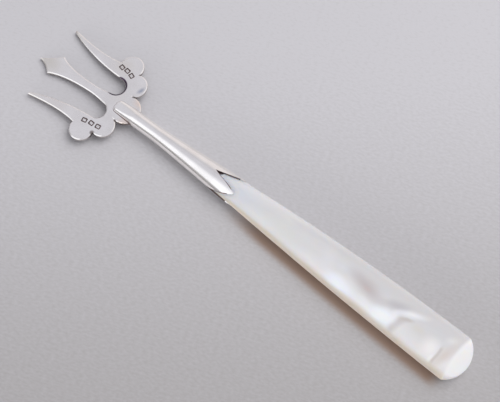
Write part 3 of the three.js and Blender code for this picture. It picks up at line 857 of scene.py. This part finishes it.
# the handle: a slab of pearl shell, rounded at its edges and thinned into the ferrule
handleShape = {
    "width": 14.9 * mm,
    "thickness": 6.6 * mm,
    "frontGap": 0.5 * mm,                    # how far it sits inside the ferrule's outside
    "endBulge": 4.1 * mm,                    # how far the free end bows out in an arc
    "endFlat": 1.6 * mm,
    "endBevel": 1.2 * mm,
    "endThickness": 5 * mm,
    "flatLength": 46 * mm,
    "taperPower": 1.8,
    "squareness": (3.3, 1.75),               # at the free end, at the ferrule
    "facet": (5 * mm, 2.7 * mm),             # the sloping cut on the free end: length and drop
    "facetRound": 0.6 * mm,
    "boreRadius": 1.1 * mm,
    "rows": 180,
    "sides": 128,
    "endShare": 0.28,                        # of the rows, those in the free end's arc
    "sharpAngle": 40,
}


def makeHandle(pearl):
    shape = handleShape
    frontHalf = [size / 2 - shape["frontGap"] for size in ferruleShape["rear"]]
    facetLength, facetDrop = shape["facet"]
    endRadius = ((shape["width"] / 2) ** 2 + shape["endBulge"] ** 2) / (2 * shape["endBulge"])

    def slabPoint(along, across):
        if along < shape["endShare"]:
            x = shape["endBulge"] * (along / shape["endShare"]) ** 2
        else:
            x = mix(shape["endBulge"], tenonX - rearX, share(along, shape["endShare"], 1))
        taper = share(x, shape["endBulge"], pointsX - rearX)
        thinning = share(x, shape["flatLength"], pointsX - rearX)
        halfWidth = mix(shape["width"] / 2, frontHalf[0], taper ** shape["taperPower"])
        halfHeight = mix(shape["thickness"] / 2, frontHalf[1], thinning ** 2)
        if x > pointsX - rearX:
            halfWidth, halfHeight = (
                half - shape["frontGap"] for half in ferruleHalf(x + rearX))
        if x < shape["endBulge"]:
            halfWidth = max(shape["endFlat"] / 2, math.sqrt(x * (2 * endRadius - x)))
        halfHeight = mix(halfHeight, shape["endThickness"] / 2, max(0, 1 - x / shape["endBevel"]) ** 2)
        power = 2 / mix(*shape["squareness"], thinning)
        turn = 2 * math.pi * across
        z = axisZ + halfHeight * signedPower(math.sin(turn), power)
        facetZ = handleHigh.z - facetDrop * (1 - x / facetLength)
        return (x + rearX, sideBow(x + rearX) + halfWidth * signedPower(math.cos(turn), power),
                softMin(z, facetZ, shape["facetRound"]))

    bm = laidGrid(shape["rows"], shape["sides"], slabPoint)
    bmesh.ops.remove_doubles(bm, verts=bm.verts[:], dist=0.002 * mm)
    ends = [edge for edge in bm.edges if edge.is_boundary]
    rearLoop = [edge for edge in ends if edge.verts[0].co.x < 0]
    frontLoop = [edge for edge in ends if edge.verts[0].co.x > 0]
    bmesh.ops.edgeloop_fill(bm, edges=rearLoop)
    bore = bmesh.ops.create_circle(
        bm, segments=shape["sides"], radius=shape["boreRadius"],
        matrix=Matrix.Translation((tenonX, 0, axisZ)) @ Matrix.Rotation(math.pi / 2, 4, "Y"))
    boreLoop = edgesAt(bore["verts"])
    bmesh.ops.bridge_loops(bm, edges=frontLoop + boreLoop)
    deep = bmesh.ops.extrude_edge_only(bm, edges=boreLoop)["geom"]
    bmesh.ops.translate(bm, vec=(boreX - tenonX, 0, 0), verts=only(bmesh.types.BMVert, deep))
    bmesh.ops.edgeloop_fill(bm, edges=only(bmesh.types.BMEdge, deep))
    bmesh.ops.recalc_face_normals(bm, faces=bm.faces[:])
    piece = newPiece("pearlHandle", bm, "handle", "pearl", pearl)
    piece.data.set_sharp_from_angle(angle=math.radians(shape["sharpAngle"]))


# the photograph's view and a plain pale table under soft light
cameraView = {
    "target": (-0.67 * mm, -1.33 * mm, 0),
    "azimuth": 218.55,
    "elevation": 70.45,
    "distance": 340 * mm,
    "lens": 79.2,
    "sensor": 36,
}
keyLamp = {
    "target": (0, 0, 0),
    "azimuth": 328,
    "elevation": 57,
    "distance": 1.1,
    "size": 1.0,
    "watts": 8.1,
    "colour": (1, 0.99, 0.985),
}
tableLook = {
    "near": (0.465, 0.45, 0.455, 1),
    "far": (0.66, 0.65, 0.68, 1),
    "farWay": (0.628, -0.778, 0),            # the way in which the tone changes
    "toneSpan": (-90 * mm, 60 * mm),
    "evenSpan": (110 * mm, 240 * mm),        # from the middle: there it comes to one tone
    "fadeSpan": (140 * mm, 400 * mm),        # and there it runs into the backdrop
    "shown": (0.80, 0.77, 0.76, 1),          # what polished metal shows of it
    "pearlShade": (0.37, 0.255, 0.195, 1),   # the warm shade that the pearl leaves beside it
    "shadeInner": (-3 * mm, -1 * mm),        # it comes in under the handle's near edge
    "shadeOuter": (1.2 * mm, 4.2 * mm),      # and goes out past it
    "shadeRear": (3 * mm, 8 * mm),           # from the handle's free end
    "shadeFront": (-12 * mm, 6 * mm),
    "grainSize": (1.4 * mm, 0.7 * mm, 1 * mm),
    "grainTurn": 20,
    "grain": 0.8,
    "radius": 3,
    "roughness": 0.8,
}
skyTones = {             # light on dull surfaces
    "far": (0.50, 0.50, 0.52, 1),
    "near": (0.30, 0.30, 0.31, 1),
    "nearLow": (2.1, 2.07, 2.06, 1),         # a low board on the near side
}
roomTones = {            # what polished metal shows
    "overhead": (0.69, 0.68, 0.715, 1),
    "nearTop": (0.80, 0.80, 0.84, 1),        # high on the near side
    "nearSide": (0.40, 0.385, 0.38, 1),
    "farTop": (0.61, 0.60, 0.625, 1),
    "farBelt": (0.88, 0.83, 0.81, 1),        # low on the far side
    "keyCard": (1.0, 0.985, 0.98, 1),        # a soft board where the lamp is
    "card": (1.16, 1.16, 1.18, 1),           # a bright board on the near side
    "skirting": (0.20, 0.19, 0.19, 1),       # a dark line round the room, at the table's level
    "seen": (0.60, 0.59, 0.61, 1),           # what the camera itself sees past the table
}


def towards(view):       # the way from the target to a camera or lamp, as the views count it
    turn, lift = math.radians(view["azimuth"]), math.radians(view["elevation"])
    return Vector((math.sin(turn) * math.cos(lift), -math.cos(turn) * math.cos(lift), math.sin(lift)))


def setUp(name, data, view):
    made = bpy.data.objects.new(name, data)
    scene.collection.objects.link(made)
    made.location = Vector(view["target"]) + towards(view) * view["distance"]
    made.rotation_euler = towards(view).to_track_quat("Z", "Y").to_euler()
    return made


def makeCamera():
    camera = bpy.data.cameras.new("camera")
    camera.lens = cameraView["lens"]
    camera.sensor_width = cameraView["sensor"]
    camera.clip_start = 10 * mm
    scene.camera = setUp("camera", camera, cameraView)


def makeLamp():
    light = bpy.data.lights.new("key", "AREA")
    light.shape = "SQUARE"
    light.size = keyLamp["size"]
    light.energy = keyLamp["watts"]
    light.color = keyLamp["colour"]
    lamp = setUp("key", light, keyLamp)
    lamp.visible_glossy = False              # metal shows the room's own soft boards instead


def makeRoom():
    world = bpy.data.worlds.new("paleRoom")
    world.use_nodes = True
    world.node_tree.nodes.clear()
    wire = Wire(world.node_tree)
    direction = wire.node("TexCoord", output="Generated")
    side, near, height = direction.axes()
    nearTop = near.rise(0, 0.4) * height.rise(0.7, 0.9)
    tone = nearTop.blend(roomTones["overhead"], roomTones["nearTop"])
    nearSide = near.rise(0.05, 0.6) * (1 - height.rise(0.6, 0.9))
    nearSide = nearSide * (side.rise(-0.6, -0.2) * 0.5 + 0.5)
    tone = nearSide.blend(tone, roomTones["nearSide"])
    tone = near.rise(-0.3, -0.5).blend(tone, roomTones["farTop"])
    belt = near.rise(-0.2, -0.7) * (1 - height.rise(0.45, 0.85)) * side.rise(-0.75, -0.2)
    tone = belt.blend(tone, roomTones["farBelt"])
    toLamp = direction.vector("DOT_PRODUCT", towards(keyLamp), 1)
    tone = toLamp.rise(0.89, 0.96).blend(tone, roomTones["keyCard"])
    cardSpan = near.rise(0.1, 0.2) * (side - near * 0.15).rise(-0.35, -0.2)
    cardSpan = cardSpan * (1 - (side - near).rise(0.1, 0.4))
    card = cardSpan * height.rise(0.34, 0.47) * (1 - height.rise(0.82, 0.94))
    tone = card.blend(tone, roomTones["card"])
    skirting = (1 - height.rise(0.06, 0.15)) * near.rise(-0.4, 0.2) * 0.85
    tone = skirting.blend(tone, roomTones["skirting"])
    sky = near.rise(-0.6, 0.6).blend(skyTones["far"], skyTones["near"])
    sky = (near.rise(0.35, 0.85) * (1 - height.rise(0.2, 0.45))).blend(sky, skyTones["nearLow"])
    tone = wire.node("LightPath", output="Is Glossy Ray").blend(sky, tone)
    tone = wire.node("LightPath", output="Is Camera Ray").blend(tone, roomTones["seen"])
    glow = wire.node("Background", {}, {"Color": tone})
    wire.node("OutputWorld", {}, {"Surface": glow})
    scene.world = world


def makeTable():
    look = tableLook
    material, wire, place = newMaterial("paleTable")
    # painted light: the table darker towards the camera, as the light falls off
    away = place.vector("DOT_PRODUCT", look["farWay"], 1).rise(*look["toneSpan"])
    grain = streaks(wire, place, look["grainSize"], look["grainTurn"])
    tone = (away + (grain - 0.5) * look["grain"]).blend(look["near"], look["far"])
    distance = place.vector("LENGTH", output=1)
    tone = distance.rise(*look["evenSpan"]).blend(tone, look["far"])
    x, y = place.axes()[:2]
    # painted shade: the table darker and warmer beside the handle's near edge
    offEdge = y - sideBow(x) - handleSide(x)
    beside = offEdge.rise(*look["shadeInner"]) * (1 - offEdge.rise(*look["shadeOuter"]))
    beside = beside * (x - rearX).rise(*look["shadeRear"]) * (1 - x.rise(*look["shadeFront"]))
    tone = (beside * 0.9).blend(tone, look["pearlShade"])
    tone = wire.node("LightPath", output="Is Glossy Ray").blend(tone, look["shown"])
    surface = wire.node("BsdfPrincipled", {}, {"Base Color": tone, "Roughness": look["roughness"]})
    gone = distance.rise(*look["fadeSpan"]) * wire.node("LightPath", output="Is Camera Ray")
    faded = wire.node("MixShader", {}, {0: gone, 1: surface, 2: wire.node("BsdfTransparent")})
    wire.node("OutputMaterial", {}, {"Surface": faded})
    bm = bmesh.new()
    bmesh.ops.create_circle(bm, segments=64, radius=look["radius"], cap_ends=True)
    newObject("floor", bm, material)


ferruleSilver, tarnish = makeFerruleSilver(), makeTarnish()
makeHead(makeHeadSilver(), tarnish)
makeFerruleHalf("ferruleUpper", "ferrule_upper", ferruleSilver, tarnish, 1)
makeFerruleHalf("ferruleLower", "ferrule_lower", ferruleSilver, tarnish, -1)
makeHandle(makePearl())
for node, material in (("tang", makeTangSteel()), ("cement_fill", makeCement())):
    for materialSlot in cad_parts[node].material_slots:
        materialSlot.material = material
    print("finished", node)
makeCamera()
makeLamp()
makeRoom()
makeTable()
print("studio set")
